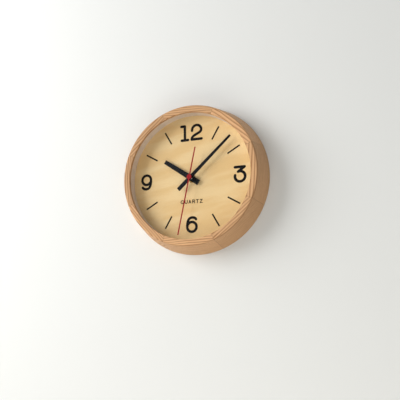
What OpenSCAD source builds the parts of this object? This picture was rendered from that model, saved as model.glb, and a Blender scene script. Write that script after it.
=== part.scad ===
// Round wall clock: a flared ring of eight wooden staves round a glazed dial, with a quartz
// movement behind it that drives three hands through a train of plastic wheels.
// Every module draws in the clock's own frame, x to the right, y up and z out from the wall,
// with the dial's axis at x = y = 0, and on_wall() turns that upright under the hanging point.

/* [Case] */
// Diameter of the case at the wall
case_d = 252; // [200:1:320]
// How much the side leans in, on the radius, from the wall to the front
flare = 11.6; // [2:0.1:16]
// Width of the wood round the opening, on the radius, to the sharp front corner
face_w = 10.8; // [9:0.1:20]
// Radius of the rounded front edge
edge_r = 3.4; // [0.5:0.1:6]
// Bevel on the opening's front edge and on the rear edge
bevel = 0.5; // [0.2:0.1:1]
// Thickness of the wooden lip in front of the glass
lip_t = 4.2; // [2:0.1:6]
// How far the lip covers the glass, on the radius
lip_cover = 4; // [2:0.1:6]
// Ledge that the back board's screws go into, on the radius
ledge_w = 6.8; // [6:0.1:9]
// Gap on the radius round everything dropped into the case from behind
seat_gap = 0.3; // [0.1:0.05:0.6]

/* [Dial and glass] */
// Thickness of the glass
glass_t = 1.8; // [1.5:0.1:4]
// Room for the hands between the dial and the glass
hand_room = 15.6; // [14:0.1:22]
// How far the white liner stands back from the wooden opening
liner_back = 1.5; // [0:0.1:2]
// Thickness of the dial board
dial_t = 3; // [2:0.1:5]
// Thickness of the printed marks and figures
print_t = 0.15; // [0.1:0.05:0.3]
// Width of an hour mark
mark_w = 2.5; // [1:0.1:4]
// Length of an hour mark
mark_len = 23.6; // [10:0.1:30]
// Gap between the opening and the outer end of an hour mark
mark_gap = 9.1; // [4:0.1:20]
// Height of the figures
figure_h = 28; // [20:0.5:32]
// Line width of the figures
figure_line = 4.4; // [2:0.1:4.8]
// Height of the small word
word_h = 6.4; // [4:0.1:8]
// Line width of the small word
word_line = 1.15; // [0.5:0.05:1.4]
// How far below the axis the small word's middle is
word_drop = 38.7; // [30:0.1:50]

/* [Back] */
// Thickness of the back board
board_t = 3; // [2:0.1:5]
// Gap between the back board's cut-out and the movement
cutout_gap = 1; // [0.5:0.1:3]
// How far the movement stays clear of the wall
wall_gap = 2.5; // [2.5:0.1:8]
// Height of the hanging point above the dial's axis
hang_drop = 92; // [60:1:94]
// Thickness of the hanger plate, which is also how deep the back board is let in
plate_t = 1.2; // [1:0.1:2]
// Radius of the hanger's round entry hole
entry_r = 4; // [3:0.1:5]
// Radius of the hanger's slot
slot_r = 2.1; // [1.5:0.1:2.5]
// How far the slot rises above the entry hole
slot_rise = 7; // [5:0.1:9]
// Radius of the back board's screws
screw_r = 1; // [0.8:0.1:1.5]
// Length of the back board's screws under the head
screw_len = 11; // [8:0.5:16]

/* [Hands] */
// Hour the hands show
shown_hour = 10; // [0:1:11]
// Minute the hands show
shown_minute = 7.9; // [0:0.1:59.9]
// Second that the second hand shows
shown_second = 32; // [0:1:59]
// Thickness of a hand
hand_t = 0.5; // [0.3:0.1:0.8]
// Height of the hour hand above the dial
hour_hand_up = 3.7; // [3.7:0.1:4.5]
// Step from one hand up to the next
hand_step = 4.2; // [3:0.1:4.5]
// Gap from the hour marks in to the hour hand's tip
hour_hand_gap = 15.4; // [5:0.1:30]
// Tail of the hour hand behind the axis
hour_tail = 16.3; // [8:0.1:30]
// Width of the hour hand at its tip
hour_tip_w = 6.8; // [3:0.1:9]
// Width of the hour hand at the end of its tail
hour_tail_w = 9.3; // [7.2:0.1:12]
// How far the minute hand's tip is inside the marks' outer end
minute_hand_gap = 2; // [0:0.1:20]
// Tail of the minute hand behind the axis
minute_tail = 28.2; // [10:0.1:40]
// Width of the minute hand at its tip
minute_tip_w = 3.8; // [2:0.1:7]
// Width of the minute hand at the end of its tail
minute_tail_w = 7; // [5.2:0.1:9]
// Gap from the opening in to the second hand's tip
second_hand_gap = 6.8; // [3:0.1:30]
// Tail of the second hand behind the axis
second_tail = 49.6; // [20:0.1:60]
// Width of the second hand
second_w = 2; // [1:0.1:3]
// Radius of the cap on the second hand
cap_r = 4.3; // [3:0.1:6]

/* [Movement] */
// Width of the movement
movement_w = 56; // [56:0.5:70]
// Height of the wheel room above the axis
room_up = 26.8; // [26.8:0.1:32]
// Depth of the movement from its cover to its front wall
movement_t = 16.5; // [16.5:0.1:21]
// Thickness of the movement's walls
shell_t = 1.2; // [1:0.1:2]
// Thickness of the rubber gasket in front of the movement
gasket_t = 0.7; // [0.5:0.1:1.5]
// Outer radius of the threaded bush
bush_r = 4; // [3.8:0.1:5]
// Thickness of the fixing nut
nut_t = 1.7; // [1.2:0.1:1.8]
// Thickness of the washer under the nut
washer_t = 0.4; // [0.3:0.1:0.5]
// Radius of the second hand's arbor
arbor_r = 0.5; // [0.4:0.05:0.65]
// Running clearance of every shaft in its hole, on the radius
run_gap = 0.05; // [0.03:0.01:0.08]
// Diameter of the battery
battery_d = 14.5; // [10.5:0.1:17.5]
// Length of the battery's can
battery_len = 49; // [44:0.1:49.5]

/* [Wheels] */
// Thickness of a wheel's rim
wheel_t = 0.6; // [0.5:0.1:0.8]
// Distance from one wheel's level to the next
level_step = 1.2; // [1.2:0.1:1.4]
// Centre distance of the rotor and the intermediate wheel
rotor_a = 7.84; // [7.6:0.01:8]
// Centre distance of the intermediate wheel and the second wheel
inter_a = 10.2; // [10:0.01:10.4]
// Centre distance of the third wheel from the axis
third_a = 10; // [9.9:0.01:10.2]
// Centre distance of the minute wheel from the axis
minute_a = 8; // [7.9:0.01:8.2]
// Centre distance of the setting wheel and the minute wheel
setting_a = 9; // [8.9:0.01:9.2]
// How much each tooth is thinned at the pitch circle
tooth_play = 0.04; // [0.03:0.01:0.06]

/* [Hidden] */
$fn = 96;
fine = 192;
eps = 0.01;
cut = 1;

// Case, from the axis outwards and from the wall forwards
stave_count = 8;
stave_angle = 360 / stave_count;
case_r = case_d / 2;
corner_r = case_r - flare;
lip_r = corner_r - face_w;
seat_r = lip_r + lip_cover;
ledge_r = seat_r + ledge_w;
insert_r = seat_r - seat_gap;
board_r = ledge_r - seat_gap;
board_z = plate_t;
ledge_z = board_z + board_t;
movement_z = wall_gap;
dial_z = movement_z + movement_t + gasket_t;
face_z = dial_z + dial_t;
glass_z = face_z + hand_room;
lip_z = glass_z + glass_t;
front_z = lip_z + lip_t;

// Hands
hour_hand_z = face_z + hour_hand_up;
minute_hand_z = hour_hand_z + hand_step;
second_hand_z = minute_hand_z + hand_step;
mark_outer_r = lip_r - mark_gap;
mark_inner_r = mark_outer_r - mark_len;
collet_wall = 0.9;
hour_collet_h = 0.9;
minute_collet_h = 1.2;
cap_t = 0.8;
cap_chamfer = 0.5;
cap_overhang = 0.8;
tube_wall = 0.4;
second_boss_h = 1.3;
second_tube_r = arbor_r + tube_wall;
second_turn = -shown_second * 6;
minute_turn = -shown_minute * 6;
hour_turn = -(shown_hour * 30 + shown_minute / 2);

// Movement: its own levels count from its rear face
room_side = movement_w / 2 - shell_t;
room_down = 10.5;
battery_gap = 0.3;
bay_h = battery_d + 2 * battery_gap;
bay_top = -room_down - shell_t;
bay_y = bay_top - bay_h / 2;
battery_r = battery_d / 2;
battery_u = battery_r + 0.65;
movement_bottom = bay_top - bay_h - shell_t;
movement_top = room_up + shell_t;
corner = 3;
first_level = shell_t + 0.7;
second_u = first_level;
third_u = first_level + level_step;
inter_u = first_level + 2 * level_step;
centre_u = first_level + 3 * level_step;
plate_u = centre_u + wheel_t + 0.9;
train_plate_t = 1;
train_plate_low = [-22, -9.6];
train_plate_high = [22, 17];
motion_u = plate_u + train_plate_t;
front_wall_u = movement_t - shell_t;
minute_wheel_u = motion_u + 1.3;
minute_wheel_t = 0.8;
hour_wheel_u = minute_wheel_u + 2.4;
board_u = motion_u + 1.6;
board_pcb_t = 1;
pipe_gap = run_gap + 0.01;

// Shafts and pipes, one inside the other
pivot_r = 0.4;
pivot_hole_r = pivot_r + run_gap;
pivot_depth = 0.7;
minute_bore_r = arbor_r + pipe_gap;
minute_pipe_r = minute_bore_r + 1.04;
hour_bore_r = minute_pipe_r + pipe_gap;
hour_pipe_r = hour_bore_r + 0.84;
bush_bore_r = hour_pipe_r + pipe_gap;
setting_r = 1.2;
minute_pipe_top = minute_hand_z + hand_t + 0.5;
hour_pipe_top = hour_hand_z + hand_t + 0.5;
bush_top = face_z + washer_t + nut_t + 0.1;
bush_flange = 1.6;
bush_flange_t = 1;
washer_wall = 3;
nut_wall = 2.2;
gasket_w = 28;
dial_hole_gap = 0.2;

// Tooth counts: 60 to 1 from the second wheel to the centre wheel, 12 to 1 from there to the hours
rotor_n = 8;
inter_n = 48;
inter_pinion_n = 10;
second_n = 50;
second_pinion_n = 8;
third_n = 60;
third_pinion_n = 8;
centre_n = 64;
cannon_n = 12;
minute_n = 36;
minute_pinion_n = 10;
hour_n = 40;
setting_n = 18;

// Directions from one axis to the next
inter_dir = 135;
third_dir = 40;
motion_dir = 0;
inter_at = polar(inter_a, inter_dir);
rotor_at = polar(inter_a + rotor_a, inter_dir);
third_at = polar(third_a, third_dir);
minute_at = polar(minute_a, motion_dir);
setting_at = polar(minute_a + setting_a, motion_dir);

// Modules of the gear pairs
rotor_m = pair_module(rotor_a, rotor_n, inter_n);
inter_m = pair_module(inter_a, inter_pinion_n, second_n);
second_m = pair_module(third_a, second_pinion_n, third_n);
third_m = pair_module(third_a, third_pinion_n, centre_n);
cannon_m = pair_module(minute_a, cannon_n, minute_n);
hour_m = pair_module(minute_a, minute_pinion_n, hour_n);

// Turn of each gear that puts its teeth in mesh with the one before it
inter_phase = mesh_phase(inter_dir, second_n, 0, inter_pinion_n);
rotor_phase = mesh_phase(inter_dir, inter_n, 0, rotor_n);
third_phase = mesh_phase(third_dir, second_pinion_n, 0, third_n);
centre_phase = mesh_phase(third_dir + 180, third_pinion_n, 0, centre_n);
minute_phase = mesh_phase(motion_dir, cannon_n, 0, minute_n);
hour_phase = mesh_phase(motion_dir + 180, minute_pinion_n, 0, hour_n);
setting_phase = mesh_phase(motion_dir, minute_n, minute_phase, setting_n);

// Windows in the wheels' webs: how many, how far out, radius
second_windows = [6, 4.9, 1.7];
third_windows = [6, 5, 1.9];
centre_windows = [6, 5.4, 1.8];
inter_windows = [5, 3.8, 1.4];
minute_windows = [5, 3.9, 1.3];

// Tooth shape
pressure = 20;
wheel_add = 0.55;
pinion_add = 1;
root_gap = 0.25;
flank_steps = 3;

// Stepping motor and circuit
stator_t = 0.8;
stator_u = shell_t + 1.4;
stator_hole_r = 3.2;
stator_ring_r = 4.6;
magnet_r = 2.7;
coil_y = 22.3;
coil_left = -14;
coil_right = 8;
core_u = stator_u + stator_t;
core_h = 2;
coil_u = core_u + stator_t / 2;
coil_r = 2.3;
flange_r = 2.5;
tube_r = 1.5;
flange_t = 0.8;
terminal_r = 0.25;
terminal_xs = [coil_left + flange_t / 2, coil_right - flange_t / 2];
arm_w = 3.5;
pcb_bottom = 15;
strip_t = 0.4;
strip_u = 6.2;
strip_w = 4.8;
strip_below = 4;
strip_top = 22;
tab_len = 4.5;
tab_w = 3;

// Fixings
plate_w = 30;
plate_below = 7;
plate_above = 12;
plate_corner = 2.5;
hanger_screw_x = 11;
hanger_screw_y = 2;
hanger_screw_r = 1.1;
head_r = 2.3;
screw_at_r = (seat_r + ledge_r) / 2 - 0.2;
screw_head_r = 2.6;
screw_head_t = 1;
cross_w = 0.5;
cross_reach = 1.3;
cross_depth = 0.5;
keyhole_room = 3;

// ---------- functions ----------
function polar(r, a) = [r * cos(a), r * sin(a)];
function pair_module(a, n1, n2) = 2 * a / (n1 + n2);
function mesh_phase(dir, n1, phase1, n2) = dir + 180 + (180 - (phase1 - dir) * n1) / n2;

// Angle in degrees of an involute at radius r, for base radius rb
function involute(rb, r) =
    let (a = acos(min(1, rb / r)))
    tan(a) * 180 / PI - a;

// Half the angle that a tooth spans at radius r
function half_tooth(n, m, r) =
    let (rp = n * m / 2, rb = rp * cos(pressure))
    (PI * m / 2 - tooth_play) / (2 * rp) * 180 / PI + involute(rb, rp) - involute(rb, max(rb, r));

function flank(n, m, add, ded) =
    let (rp = n * m / 2, rb = rp * cos(pressure), root = rp - ded * m, tip = rp + add * m, low = max(rb, root))
    concat(
        root < rb ? [[root, half_tooth(n, m, rb)]] : [],
        [for (k = [0:flank_steps]) let (r = low + (tip - low) * k / flank_steps) [r, half_tooth(n, m, r)]]
    );

function reversed(list) = [for (i = [len(list) - 1:-1:0]) list[i]];

function gear_points(n, m, add, ded) =
    let (side = flank(n, m, add, ded))
    [for (i = [0:n - 1])
        let (a = i * 360 / n)
        for (p = concat([for (s = side) [s[0], -s[1]]], reversed(side)))
            polar(p[0], a + p[1])];

// Cubic curve through two end points, without its first point
function curve(p0, p1, p2, p3, steps = 10) =
    [for (k = [1:steps])
        let (t = k / steps, s = 1 - t)
        s * s * s * p0 + 3 * s * s * t * p1 + 3 * s * t * t * p2 + t * t * t * p3];

function arc(centre, r, from, to, steps = 16) =
    [for (k = [0:steps]) centre + polar(r, from + (to - from) * k / steps)];

// Direction of a path at point i, in degrees
function heading(path, i) =
    let (d = path[min(i + 1, len(path) - 1)] - path[max(i - 1, 0)])
    atan2(d[1], d[0]);

// Outline of a line of width w drawn along a path, with round ends
function line_outline(path, w) =
    let (last = len(path) - 1, h0 = heading(path, 0), h1 = heading(path, last))
    concat(
        [for (i = [0:last]) path[i] + polar(w / 2, heading(path, i) - 90)],
        [for (a = [-60:30:60]) path[last] + polar(w / 2, h1 + a)],
        [for (i = [last:-1:0]) path[i] + polar(w / 2, heading(path, i) + 90)],
        [for (a = [120:30:240]) path[0] + polar(w / 2, h0 + a)]
    );

// Section of a stave, radius against height above the wall
function stave_section() =
    let (
        lean = atan(flare / front_z),
        setback = edge_r * tan((90 - lean) / 2),
        centre = [corner_r - setback, front_z - edge_r]
    )
    concat(
        [[ledge_r, 0], [case_r - bevel, 0], [case_r - bevel * tan(lean), bevel]],
        arc(centre, edge_r, lean, 90, 6),
        [
            [lip_r + bevel, front_z], [lip_r, front_z - bevel], [lip_r, lip_z],
            [seat_r, lip_z], [seat_r, ledge_z], [ledge_r, ledge_z]
        ]
    );

// ---------- shared shapes ----------
module on_wall() {
    translate([0, 0, -hang_drop]) rotate([90, 0, 0]) children();
}

module in_movement() {
    on_wall() translate([0, 0, movement_z]) children();
}

module at(p, u = 0) {
    translate([p[0], p[1], u]) children();
}

module tube(outer, inner, h) {
    difference() {
        cylinder(r = outer, h = h);
        translate([0, 0, -cut]) cylinder(r = inner, h = h + 2 * cut);
    }
}

// Plate between two corners in the plane, with rounded corners
module rounded_plate(low, high, h, r) {
    linear_extrude(height = h) {
        translate([low[0] + r, low[1]]) square([high[0] - low[0] - 2 * r, high[1] - low[1]]);
        translate([low[0], low[1] + r]) square([high[0] - low[0], high[1] - low[1] - 2 * r]);
        for (x = [low[0] + r, high[0] - r], y = [low[1] + r, high[1] - r])
            translate([x, y]) circle(r = r);
    }
}

// Box from one corner to the opposite one
module block(low, high) {
    translate(low) cube(high - low);
}

module gear(n, m, add, ded, h, phase = 0) {
    rotate([0, 0, phase]) linear_extrude(height = h) polygon(gear_points(n, m, add, ded));
}

module wheel_teeth(n, m, h, phase = 0) {
    gear(n, m, wheel_add, pinion_add + root_gap, h, phase);
}

module pinion_teeth(n, m, h, phase = 0) {
    gear(n, m, pinion_add, wheel_add + root_gap, h, phase);
}

// Round windows that lighten a wheel's web
module windows(holes, h) {
    for (i = [0:holes[0] - 1])
        rotate([0, 0, (i + 0.5) * 360 / holes[0]])
            translate([holes[1], 0, -cut]) cylinder(r = holes[2], h = h + 2 * cut);
}

module ink(paths, w) {
    linear_extrude(height = print_t)
        for (p = paths) polygon(line_outline(p, w));
}

// ---------- case ----------
module case_stave(i) {
    color(i % 2 == 0 ? "burlywood" : "tan") on_wall() rotate([0, 0, 90 - (i - 1) * stave_angle]) difference() {
        rotate([0, 0, -stave_angle / 2])
            rotate_extrude(angle = stave_angle, $fn = fine) polygon(stave_section());
        translate([screw_at_r, 0, -cut]) cylinder(r = screw_r, h = board_z + screw_len + 2 * cut);
    }
}

module front_glass() {
    color("lightcyan", 0.4) on_wall() translate([0, 0, glass_z]) cylinder(r = insert_r, h = glass_t, $fn = fine);
}

module liner_ring() {
    color("ivory") on_wall() translate([0, 0, face_z]) tube(insert_r, lip_r + liner_back, hand_room, $fn = fine);
}

module dial() {
    color("moccasin") on_wall() translate([0, 0, dial_z])
        tube(insert_r, bush_r + dial_hole_gap, dial_t, $fn = fine);
}

module hour_marks() {
    color("black") on_wall() translate([0, 0, face_z])
        for (hour = [1:12])
            if (hour % 3 != 0)
                rotate([0, 0, -hour * 30])
                    block([-mark_w / 2, mark_inner_r, 0], [mark_w / 2, mark_outer_r, print_t]);
}

module spacer_ring() {
    color("peru") on_wall() translate([0, 0, ledge_z]) tube(insert_r, lip_r, dial_z - ledge_z, $fn = fine);
}

// ---------- figures on the dial ----------
// Each figure's lines are drawn about its own middle, figure_top above and below it.
figure_top = (figure_h - figure_line) / 2;
figure_side = 0.73 * figure_top;

function one_lines() = [
    [[0, figure_top], [0, -figure_top]],
    [[-0.55 * figure_top, figure_top], [0, figure_top]],
    [[-0.48 * figure_top, -figure_top], [0.48 * figure_top, -figure_top]]
];

function two_lines() =
    let (r = 0.93 * figure_side, c = [0, figure_top - r], right = c + [r, 0], foot = [-figure_side, -figure_top])
    [
        concat(arc(c, r, 185, 0), curve(right, right - [0, 0.9 * r], foot + [0, 1.15 * r], foot, 14)),
        [foot, [figure_side, -figure_top]]
    ];

function three_lines() =
    let (r = 0.97 * figure_side, c = [0, -figure_top + r], joint = c + polar(r, 112))
    [
        [[-0.95 * figure_side, figure_top], [0.88 * figure_side, figure_top]],
        [[0.88 * figure_side, figure_top], joint],
        arc(c, r, 112, -195, 24)
    ];

function six_lines() =
    let (r = 0.94 * figure_side, c = [0, -figure_top + r], left = c - [r, 0], top = [0.5, figure_top])
    [
        arc(c, r, 0, 180),
        arc(c, r, 180, 360),
        concat(
            [left],
            curve(left, left + [0, 1.15 * r], top - [0.8 * r, 0], top),
            curve(top, top + [0.45 * r, 0], [0.78 * r, 0.9 * figure_top], [0.9 * r, 0.74 * figure_top], 6)
        )
    ];

// Height of the upright figures' middle and reach of the sideways ones
figure_up = mark_outer_r - 17.4;
figure_out = mark_outer_r - 12.6;
one_x = -11.7;
two_x = 9;

module numerals() {
    color("black") on_wall() translate([0, 0, face_z]) {
        translate([one_x, figure_up]) ink(one_lines(), figure_line);
        translate([two_x, figure_up]) ink(two_lines(), figure_line);
        translate([figure_out, 0]) ink(three_lines(), figure_line);
        translate([0, -figure_up]) ink(six_lines(), figure_line);
        translate([-figure_out, 0]) rotate([0, 0, 180]) ink(six_lines(), figure_line);
    }
}

// ---------- small word on the dial: QUARTZ ----------
letter_top = (word_h - word_line) / 2;
letter_side = 0.72 * letter_top;
letter_pitch = 2.5 * letter_top;

function letter_q() = [
    arc([0, 0], letter_top, 0, 180),
    arc([0, 0], letter_top, 180, 360),
    [[0.3 * letter_top, -0.4 * letter_top], [0.95 * letter_top, -1.05 * letter_top]]
];
function letter_u() = [
    concat(
        [[-letter_side, letter_top]],
        arc([0, -letter_top + letter_side], letter_side, 180, 360),
        [[letter_side, letter_top]]
    )
];
function letter_a() = [
    [[-letter_side, -letter_top], [0, letter_top]],
    [[0, letter_top], [letter_side, -letter_top]],
    [[-0.6 * letter_side, -0.35 * letter_top], [0.6 * letter_side, -0.35 * letter_top]]
];
function letter_r() =
    let (r = letter_top / 2, x = letter_side - r)
    [
        [[-letter_side, -letter_top], [-letter_side, letter_top]],
        concat([[-letter_side, letter_top]], arc([x, letter_top - r], r, 90, -90), [[-letter_side, 0]]),
        [[x, 0], [letter_side, -letter_top]]
    ];
function letter_t() = [
    [[-letter_side, letter_top], [letter_side, letter_top]],
    [[0, letter_top], [0, -letter_top]]
];
function letter_z() = [
    [[-letter_side, letter_top], [letter_side, letter_top]],
    [[letter_side, letter_top], [-letter_side, -letter_top]],
    [[-letter_side, -letter_top], [letter_side, -letter_top]]
];

module dial_word() {
    letters = [letter_q(), letter_u(), letter_a(), letter_r(), letter_t(), letter_z()];
    color("black") on_wall() translate([0, -word_drop, face_z])
        for (i = [0:len(letters) - 1])
            translate([(i - (len(letters) - 1) / 2) * letter_pitch, 0]) ink(letters[i], word_line);
}

// ---------- back ----------
module back_board() {
    cutout = [
        [-movement_w / 2 - cutout_gap, movement_bottom - cutout_gap],
        [movement_w / 2 + cutout_gap, movement_top + cutout_gap]
    ];
    color("saddlebrown") on_wall() translate([0, 0, board_z]) difference() {
        cylinder(r = board_r, h = board_t, $fn = fine);
        translate([0, 0, -cut]) rounded_plate(cutout[0], cutout[1], board_t + 2 * cut, corner + cutout_gap);
        translate([0, 0, -cut])
            rounded_plate(
                [-entry_r - keyhole_room, hang_drop - entry_r - keyhole_room / 2],
                [entry_r + keyhole_room, hang_drop + slot_rise + slot_r + keyhole_room / 2],
                board_t + 2 * cut, keyhole_room
            );
        for (x = [-hanger_screw_x, hanger_screw_x])
            at([x, hang_drop + hanger_screw_y], -cut) cylinder(r = hanger_screw_r, h = board_t + 2 * cut);
        for (i = [1:stave_count])
            rotate([0, 0, i * stave_angle])
                translate([screw_at_r, 0, -cut]) cylinder(r = screw_r, h = board_t + 2 * cut);
    }
}

// Pan-head screw pointing out from the wall, with a cross cut into its head
module wood_screw(shank_r, shank_len, pan_r, pan_t) {
    reach = 0.55 * pan_r;
    difference() {
        union() {
            translate([0, 0, -pan_t]) cylinder(r1 = 0.8 * pan_r, r2 = pan_r, h = pan_t);
            cylinder(r = shank_r, h = shank_len);
        }
        for (a = [0, 90])
            rotate([0, 0, a]) block([-reach, -cross_w / 2, -pan_t - cut], [reach, cross_w / 2, -pan_t / 2]);
    }
}

module back_screws() {
    color("silver") on_wall()
        for (i = [1:stave_count])
            rotate([0, 0, i * stave_angle]) translate([screw_at_r, 0, board_z])
                wood_screw(screw_r, screw_len, screw_head_r, screw_head_t);
}

module hanger_plate() {
    color("silver") on_wall() translate([0, hang_drop, 0]) difference() {
        rounded_plate([-plate_w / 2, -plate_below], [plate_w / 2, plate_above], plate_t, plate_corner);
        translate([0, 0, -cut]) cylinder(r = entry_r, h = plate_t + 2 * cut);
        translate([0, slot_rise, -cut]) cylinder(r = slot_r, h = plate_t + 2 * cut);
        block([-slot_r, 0, -cut], [slot_r, slot_rise, plate_t + cut]);
        for (x = [-hanger_screw_x, hanger_screw_x])
            at([x, hanger_screw_y]) cylinder(r1 = head_r, r2 = hanger_screw_r, h = plate_t);
    }
}

module hanger_screws() {
    color("silver") on_wall()
        for (x = [-hanger_screw_x, hanger_screw_x])
            at([x, hang_drop + hanger_screw_y]) difference() {
                union() {
                    cylinder(r1 = head_r, r2 = hanger_screw_r, h = plate_t);
                    translate([0, 0, plate_t]) cylinder(r = hanger_screw_r, h = board_t);
                }
                for (a = [0, 90])
                    rotate([0, 0, a])
                        block([-cross_reach, -cross_w / 2, -cut], [cross_reach, cross_w / 2, cross_depth]);
            }
}

// ---------- hands ----------
// Bar that narrows evenly from its tail to its tip
module bar_hand(tip, tail, tip_w, tail_w) {
    linear_extrude(height = hand_t)
        polygon([[-tail_w / 2, -tail], [tail_w / 2, -tail], [tip_w / 2, tip], [-tip_w / 2, tip]]);
}

// Bar with a collet behind it that is pressed onto a pipe
module pressed_hand(tip, tail, tip_w, tail_w, bore_r, collet_h) {
    difference() {
        union() {
            bar_hand(tip, tail, tip_w, tail_w);
            translate([0, 0, -collet_h]) cylinder(r = bore_r + collet_wall, h = collet_h + hand_t);
        }
        translate([0, 0, -collet_h - cut]) cylinder(r = bore_r, h = collet_h + hand_t + 2 * cut);
    }
}

module hour_hand() {
    color("black") on_wall() translate([0, 0, hour_hand_z]) rotate([0, 0, hour_turn])
        pressed_hand(
            mark_inner_r - hour_hand_gap, hour_tail, hour_tip_w, hour_tail_w,
            hour_pipe_r, hour_collet_h
        );
}

module minute_hand() {
    color("black") on_wall() translate([0, 0, minute_hand_z]) rotate([0, 0, minute_turn])
        pressed_hand(
            mark_outer_r - minute_hand_gap, minute_tail, minute_tip_w, minute_tail_w,
            minute_pipe_r, minute_collet_h
        );
}

module second_hand() {
    color("crimson") on_wall() translate([0, 0, second_hand_z]) rotate([0, 0, second_turn]) {
        difference() {
            union() {
                block([-second_w / 2, -second_tail, 0], [second_w / 2, lip_r - second_hand_gap, hand_t]);
                translate([0, 0, -second_boss_h]) cylinder(r = cap_r - cap_overhang, h = second_boss_h + hand_t);
                translate([0, 0, hand_t]) cylinder(r1 = cap_r, r2 = cap_r - cap_chamfer, h = cap_t);
            }
            translate([0, 0, -second_boss_h - cut]) cylinder(r = second_tube_r, h = second_boss_h + hand_t + cut);
        }
    }
}

module second_hand_tube() {
    color("gold") on_wall() translate([0, 0, second_hand_z - second_boss_h]) difference() {
        cylinder(r = second_tube_r, h = second_boss_h + hand_t);
        translate([0, 0, -cut]) cylinder(r = arbor_r, h = second_boss_h + cut);
    }
}

// ---------- movement: shells ----------
train_posts = [[-18, -6], [19.5, -6.5], [4, 12]];
stator_posts = [[-17.75, 18], [11.75, 18]];
pcb_posts = [[-18, 18.5], [18, 18.5]];
post_r = 1.6;
peg_r = 0.9;
pcb_post_r = 1.2;
pcb_peg_r = 0.7;
stator_post_r = 1.5;
finger_r = 8;
clip_ys = [2, 18];
clip_w = 4;
clip_t = 0.9;
clip_len = 3.8;
clip_gap = 0.2;
clip_slot_h = 2.4;
hook = 0.5;
peg_end = 0.4;
pcb_peg_end = 0.3;

module movement_housing() {
    color("dimgray") in_movement() {
        difference() {
            rounded_plate([-movement_w / 2, movement_bottom], [movement_w / 2, movement_top], movement_t, corner);
            block([-room_side, -room_down, -cut], [room_side, room_up, front_wall_u]);
            block([-room_side, bay_top - bay_h, -cut], [room_side, bay_top, front_wall_u]);
            block([-movement_w / 2 - cut, -room_down, -cut], [movement_w / 2 + cut, movement_top + cut, shell_t]);
            translate([0, 0, front_wall_u - cut]) cylinder(r = bush_r, h = shell_t + 2 * cut);
            for (p = [minute_at, setting_at])
                at(p, front_wall_u - cut)
                    cylinder(r = (p == setting_at ? setting_r : pivot_r) + run_gap, h = cut + pivot_depth);
            for (side = [-1, 1]) {
                for (y = clip_ys)
                    translate([side * (room_side + shell_t / 2), y + clip_w / 2, shell_t + clip_len - 1])
                        cube([shell_t + 2 * eps, clip_w + 2 * clip_gap, clip_slot_h], center = true);
                translate([side * (room_side - strip_t / 2), bay_top + shell_t / 2, strip_u + strip_w / 2])
                    cube([strip_t + clip_gap, shell_t + 2 * eps, strip_w + 2 * clip_gap], center = true);
            }
            translate([0, movement_bottom - cut, 0])
                rotate([-90, 0, 0]) cylinder(r = finger_r, h = shell_t + cut + eps);
        }
        for (p = train_posts) at(p, motion_u) {
            cylinder(r = post_r, h = front_wall_u - motion_u + eps);
            translate([0, 0, -train_plate_t - peg_end]) cylinder(r = peg_r, h = train_plate_t + peg_end + eps);
        }
        for (p = pcb_posts) at(p, board_u + board_pcb_t) {
            cylinder(r = pcb_post_r, h = front_wall_u - board_u - board_pcb_t + eps);
            translate([0, 0, -board_pcb_t - pcb_peg_end])
                cylinder(r = pcb_peg_r, h = board_pcb_t + pcb_peg_end + eps);
        }
    }
}

module movement_cover() {
    color("gray") in_movement() {
        difference() {
            intersection() {
                rounded_plate([-movement_w / 2, movement_bottom], [movement_w / 2, movement_top], shell_t, corner);
                block([-movement_w / 2, -room_down, 0], [movement_w / 2, movement_top, shell_t]);
            }
            for (p = [[0, 0], inter_at, rotor_at, third_at])
                at(p, shell_t - pivot_depth) cylinder(r = pivot_hole_r, h = pivot_depth + cut);
            at(setting_at, -cut) cylinder(r = setting_r + run_gap, h = shell_t + 2 * cut);
        }
        for (side = [-1, 1], y = clip_ys) {
            block(
                [side * (room_side - 0.05) - (side > 0 ? clip_t : 0), y, shell_t - eps],
                [side * (room_side - 0.05) + (side > 0 ? 0 : clip_t), y + clip_w, shell_t + clip_len]
            );
            block(
                [side * (room_side + hook / 2) - hook / 2 - 0.1, y, shell_t + clip_len - 1],
                [side * (room_side + hook / 2) + hook / 2 + 0.1, y + clip_w, shell_t + clip_len]
            );
        }
        for (p = stator_posts) at(p, shell_t - eps) {
            cylinder(r = stator_post_r, h = stator_u - shell_t + eps);
            cylinder(r = pcb_peg_r, h = core_u + pcb_peg_end - shell_t);
        }
    }
}

module train_plate() {
    color("whitesmoke") in_movement() translate([0, 0, plate_u]) difference() {
        rounded_plate(train_plate_low, train_plate_high, train_plate_t, 2);
        translate([0, 0, -cut]) cylinder(r = minute_pipe_r + run_gap, h = train_plate_t + 2 * cut);
        for (p = [inter_at, rotor_at, third_at, minute_at])
            at(p, -cut) cylinder(r = pivot_hole_r, h = train_plate_t + 2 * cut);
        at(setting_at, -cut) cylinder(r = setting_r + run_gap, h = train_plate_t + 2 * cut);
        for (p = train_posts) at(p, -cut) cylinder(r = peg_r, h = train_plate_t + 2 * cut);
    }
}

module mounting_bush() {
    color("gold") on_wall() difference() {
        union() {
            translate([0, 0, movement_z + front_wall_u - bush_flange_t])
                cylinder(r = bush_r + bush_flange, h = bush_flange_t);
            translate([0, 0, movement_z + front_wall_u])
                cylinder(r = bush_r, h = bush_top - movement_z - front_wall_u);
        }
        translate([0, 0, movement_z + front_wall_u - bush_flange_t - cut])
            cylinder(r = bush_bore_r, h = bush_top - movement_z - front_wall_u + bush_flange_t + 2 * cut);
    }
}

module rubber_gasket() {
    color("black") on_wall() translate([0, 0, dial_z - gasket_t]) difference() {
        rounded_plate([-gasket_w / 2, -gasket_w / 2], [gasket_w / 2, gasket_w / 2], gasket_t, corner);
        translate([0, 0, -cut]) cylinder(r = bush_r, h = gasket_t + 2 * cut);
    }
}

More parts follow.
